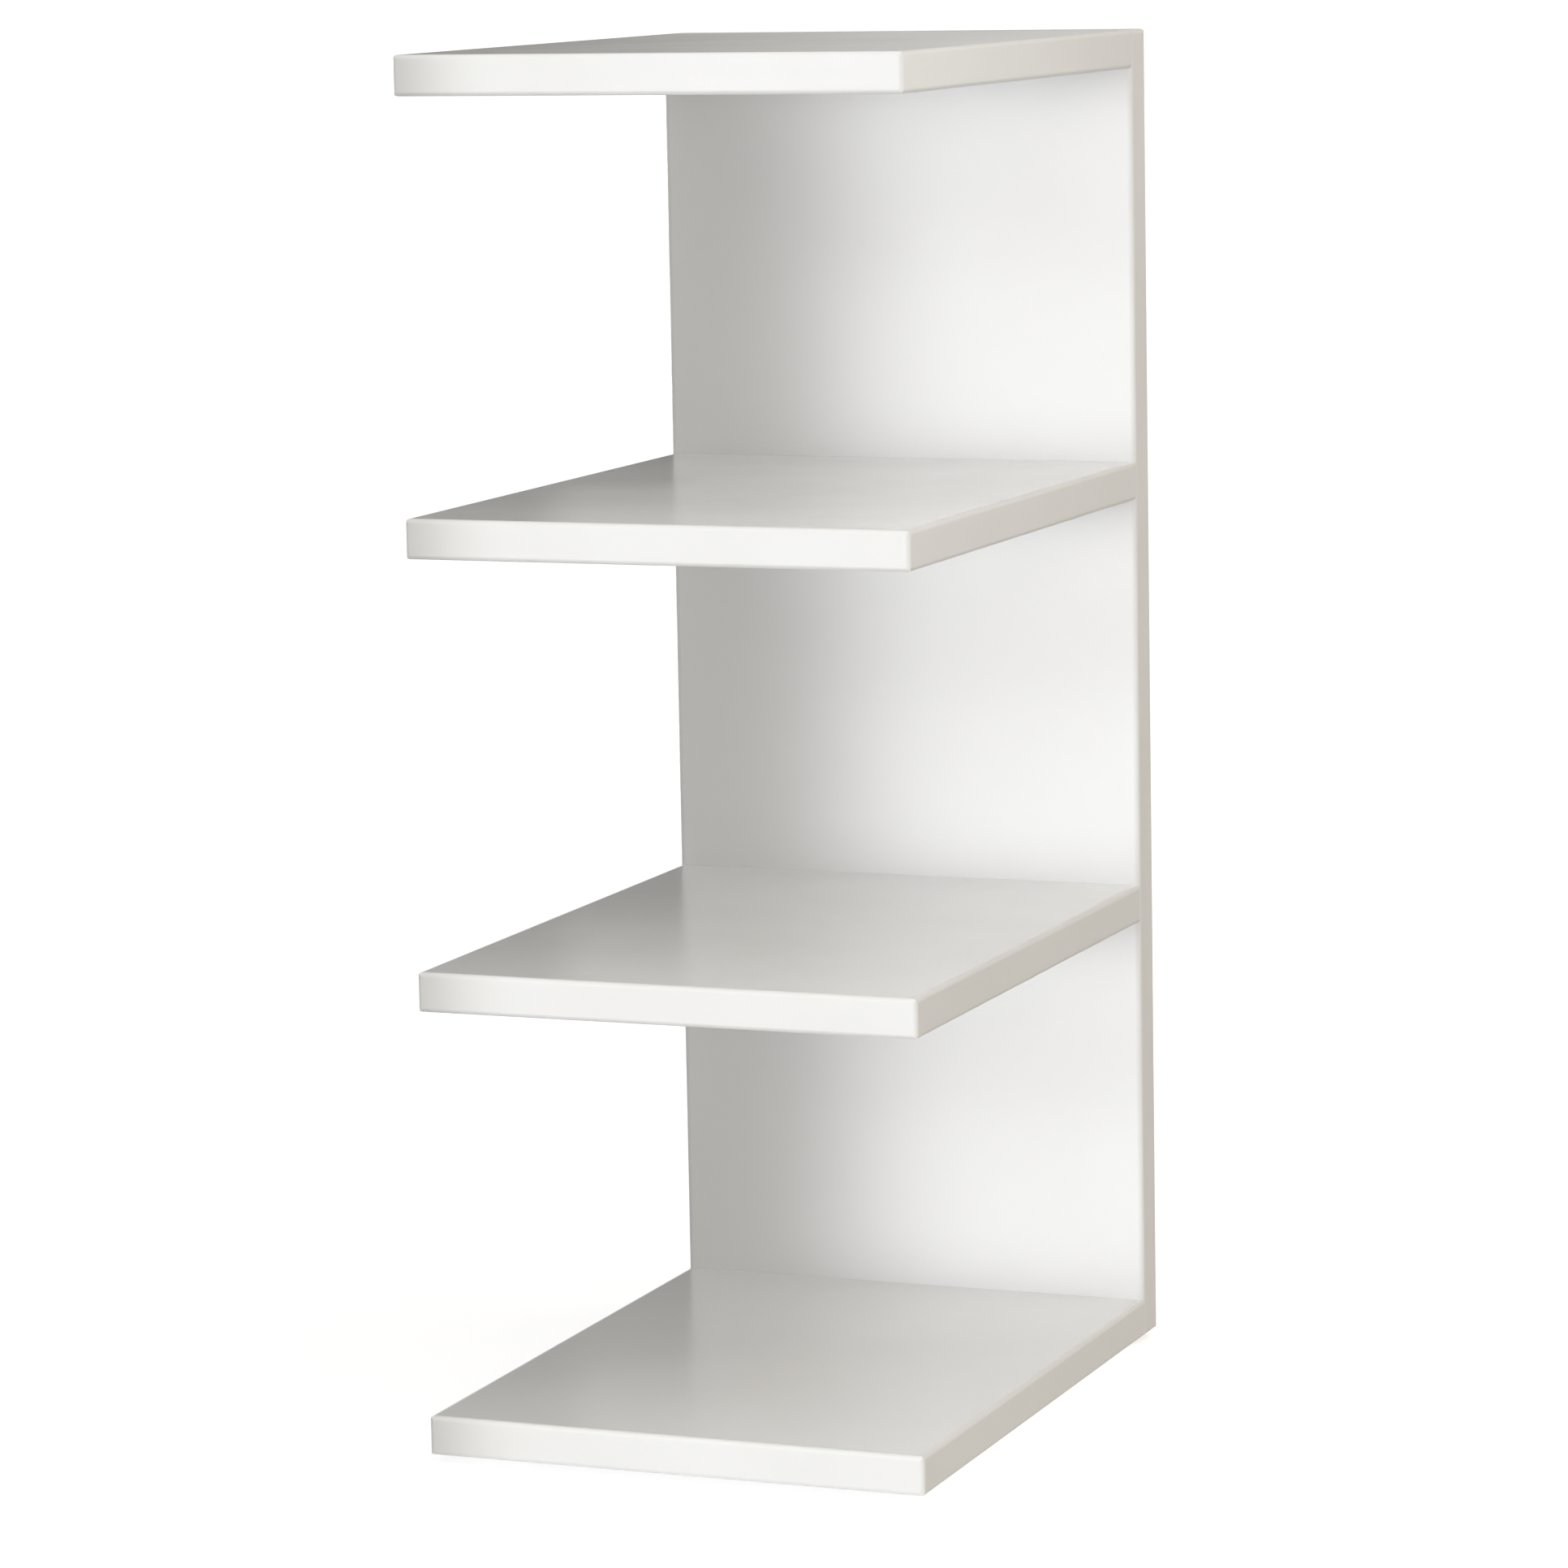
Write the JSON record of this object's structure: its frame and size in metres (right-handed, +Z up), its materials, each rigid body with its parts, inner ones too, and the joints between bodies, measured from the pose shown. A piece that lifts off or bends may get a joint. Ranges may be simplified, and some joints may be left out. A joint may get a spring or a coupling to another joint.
{
  "type": "corner shelf unit",
  "caption": "Open shelf unit of rectangular white shelves cantilevered from one full-height back panel, with edge bands, cam and dowel joints, floor glides and keyhole hangers.",
  "frame": {"origin": "on the floor under the middle of the unit's outline", "axes": "+X to the right seen from the front, +Y to the rear, +Z up"},
  "size_m": [0.29, 0.4, 0.771],
  "materials": {
    "white_board": "white satin melamine on chipboard",
    "edge_band": "white satin edge band",
    "beech": "plain beech",
    "cast_zinc": "dull die-cast zinc",
    "plated_steel": "bright zinc plate",
    "cover_film": "white satin film",
    "glide_plastic": "off-white moulded plastic"
  },
  "bodies": {
    "root": {"back_panel": "white_board", "back_left_band": "edge_band", "back_right_band": "edge_band", "back_top_band": "edge_band", "bottom_shelf": "white_board", "bottom_shelf_front_band": "edge_band", "bottom_shelf_left_band": "edge_band", "bottom_shelf_right_band": "edge_band", "bottom_shelf_dowel": "beech", "bottom_shelf_cam_bolts": "plated_steel", "bottom_shelf_cams": "cast_zinc", "bottom_shelf_cam_covers": "cover_film", "lower_shelf": "white_board", "lower_shelf_front_band": "edge_band", "lower_shelf_left_band": "edge_band", "lower_shelf_right_band": "edge_band", "lower_shelf_dowel": "beech", "lower_shelf_cam_bolts": "plated_steel", "lower_shelf_cams": "cast_zinc", "lower_shelf_cam_covers": "cover_film", "upper_shelf": "white_board", "upper_shelf_front_band": "edge_band", "upper_shelf_left_band": "edge_band", "upper_shelf_right_band": "edge_band", "upper_shelf_dowel": "beech", "upper_shelf_cam_bolts": "plated_steel", "upper_shelf_cams": "cast_zinc", "upper_shelf_cam_covers": "cover_film", "top_shelf": "white_board", "top_shelf_front_band": "edge_band", "top_shelf_left_band": "edge_band", "top_shelf_right_band": "edge_band", "top_shelf_dowel": "beech", "top_shelf_cam_bolts": "plated_steel", "top_shelf_cams": "cast_zinc", "top_shelf_cam_covers": "cover_film", "floor_glides": "glide_plastic", "glide_nails": "plated_steel", "left_wall_hanger": "plated_steel", "right_wall_hanger": "plated_steel", "hanger_screws": "plated_steel"}
  },
  "joints": []
}
